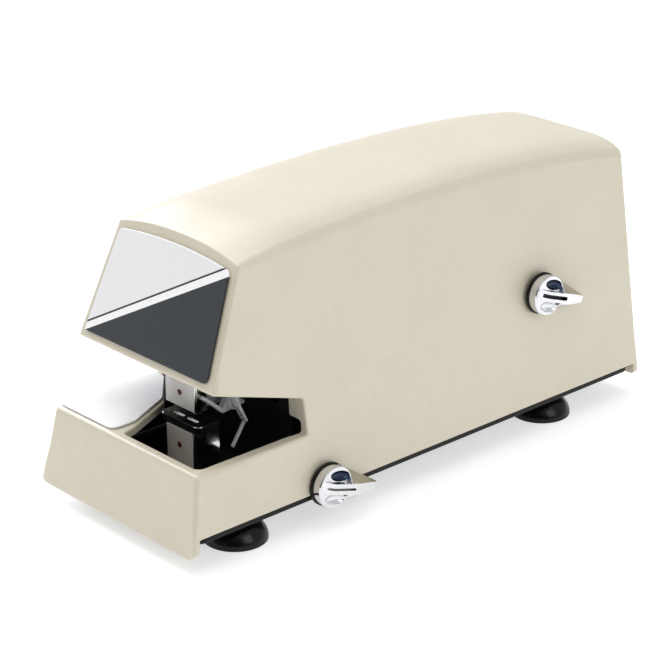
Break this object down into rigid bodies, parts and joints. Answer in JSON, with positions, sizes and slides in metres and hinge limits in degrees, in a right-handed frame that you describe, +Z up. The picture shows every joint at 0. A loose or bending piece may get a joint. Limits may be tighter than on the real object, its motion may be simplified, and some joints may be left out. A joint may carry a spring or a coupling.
{
  "type": "electric stapler",
  "caption": "Desk electric stapler: beige one-piece casing with crowned roof and open throat, pull-out magazine, solenoid hammer, anvil in a well, paper trigger and two side control knobs.",
  "frame": {"origin": "on the table under the middle of the whole stapler's box, knobs included", "axes": "+Z up, the nose and throat face -Y, both knobs are on the +X side"},
  "size_m": [0.1052, 0.2608, 0.1248],
  "materials": {
    "casing": "smooth beige moulding with a very fine eggshell grain",
    "label": "glossy faceplate, silver white above a diagonal stripe and slate below",
    "work_plate": "glossy off-white work plate",
    "base_black": "gloss black painted sheet",
    "anvil_black": "blackened steel with bright edges",
    "black_plastic": "black moulding",
    "ivory_plastic": "ivory moulding",
    "capacitor_sleeve": "shrink sleeve",
    "rubber": "glossy black rubber",
    "copper": "enamelled copper winding",
    "board": "phenolic circuit board",
    "aluminium": "mill finish",
    "chrome": "polished",
    "brushed_steel": "fine vertical brushing",
    "steel": "plain bright steel",
    "dark_steel": "dark phosphated steel",
    "rivet": "dark red spot rivet"
  },
  "bodies": {
    "housing": {"casing": "casing", "label_plate": "label", "work_plate": "work_plate", "base_plate": "base_black", "foot_front_left": "rubber", "foot_front_right": "rubber", "foot_rear_left": "rubber", "foot_rear_right": "rubber", "foot_screw_front_left": "steel", "foot_screw_front_right": "steel", "foot_screw_rear_left": "steel", "foot_screw_rear_right": "steel", "chassis_left": "dark_steel", "chassis_right": "dark_steel", "arm_shaft": "steel", "driver_guide_left": "dark_steel", "driver_guide_right": "dark_steel", "magazine_rail_left": "dark_steel", "magazine_rail_right": "dark_steel", "latch_pin": "steel", "solenoid_yoke": "steel", "coil_bobbin": "black_plastic", "coil_winding": "copper", "return_spring": "steel", "anvil_post": "brushed_steel", "anvil_post_rivet": "rivet", "anvil_plate": "anvil_black", "anvil_screw": "steel", "throat_shield": "base_black", "depth_bearing": "black_plastic", "control_board": "board", "force_control": "black_plastic", "capacitor": "capacitor_sleeve", "heat_sink": "aluminium", "terminal_block": "ivory_plastic", "cord_grommet": "rubber"},
    "magazine": {"magazine_channel": "steel", "face_plate": "brushed_steel", "face_plate_rivet": "rivet", "staple_strip": "steel", "pusher_rod": "steel", "pusher_spring": "steel"},
    "pusher": {"staple_pusher": "steel"},
    "latch": {"magazine_latch": "chrome"},
    "hammer_arm": {"drive_arm": "dark_steel"},
    "plunger": {"plunger": "steel", "plunger_pin": "steel"},
    "driver": {"driver_holder": "dark_steel", "driver_blade": "steel"},
    "depth_carriage": {"depth_carriage": "dark_steel", "micro_switch": "black_plastic", "trigger_pin": "steel"},
    "paper_trigger": {"paper_trigger": "chrome"},
    "depth_knob": {"depth_knob": "chrome", "depth_shaft": "steel"},
    "force_knob": {"force_knob": "chrome", "force_shaft": "steel"}
  },
  "joints": [
    {"name": "arm_swing", "type": "hinge", "parent": "housing", "child": "hammer_arm", "pos_m": [-0.00368, 0.09455, 0.085], "axis": [1, 0, 0], "range_deg": [0, 4.58], "stiffness_Nm_per_rad": 1.6, "springref_deg": -25.78},
    {"name": "driver_stroke", "type": "slide", "parent": "housing", "child": "driver", "axis": [0, 0, -1], "range_m": [0, 0.0146]},
    {"name": "plunger_pull", "type": "slide", "parent": "housing", "child": "plunger", "axis": [0, 0, -1], "range_m": [0, 0.0042], "deforming": ["return_spring"]},
    {"name": "magazine_pull", "type": "slide", "parent": "housing", "child": "magazine", "axis": [0, -1, 0], "range_m": [0, 0.115]},
    {"name": "pusher_draw", "type": "slide", "parent": "magazine", "child": "pusher", "axis": [0, 1, 0], "range_m": [0, 0.03], "stiffness_N_per_m": 15, "springref_m": -0.1, "deforming": ["pusher_spring"]},
    {"name": "latch_press", "type": "hinge", "parent": "housing", "child": "latch", "pos_m": [0.00772, -0.08045, 0.047], "axis": [1, 0, 0], "range_deg": [0, 10], "stiffness_Nm_per_rad": 0.02, "springref_deg": -17.19},
    {"name": "depth_knob_turn", "type": "hinge", "parent": "housing", "child": "depth_knob", "pos_m": [0.04462, -0.06125, 0.0173], "axis": [1, 0, 0], "range_deg": [0, 120]},
    {"name": "depth_carriage_slide", "type": "slide", "parent": "housing", "child": "depth_carriage", "axis": [0, -1, 0], "range_m": [0, 0.00879]},
    {"name": "trigger_swing", "type": "hinge", "parent": "depth_carriage", "child": "paper_trigger", "pos_m": [0.01472, -0.08595, 0.0608], "axis": [1, 0, 0], "range_deg": [0, 12], "stiffness_Nm_per_rad": 0.01, "springref_deg": -22.92},
    {"name": "force_knob_turn", "type": "hinge", "parent": "housing", "child": "force_knob", "pos_m": [0.04012, 0.06635, 0.0635], "axis": [1, 0, 0], "range_deg": [-100, 140]}
  ],
  "couplings": [
    {"joint": "driver_stroke", "follows": "arm_swing", "m_per_rad": 0.181},
    {"joint": "plunger_pull", "follows": "arm_swing", "m_per_rad": 0.048},
    {"joint": "depth_knob_turn", "follows": "depth_carriage_slide", "rad_per_m": 238.09}
  ]
}
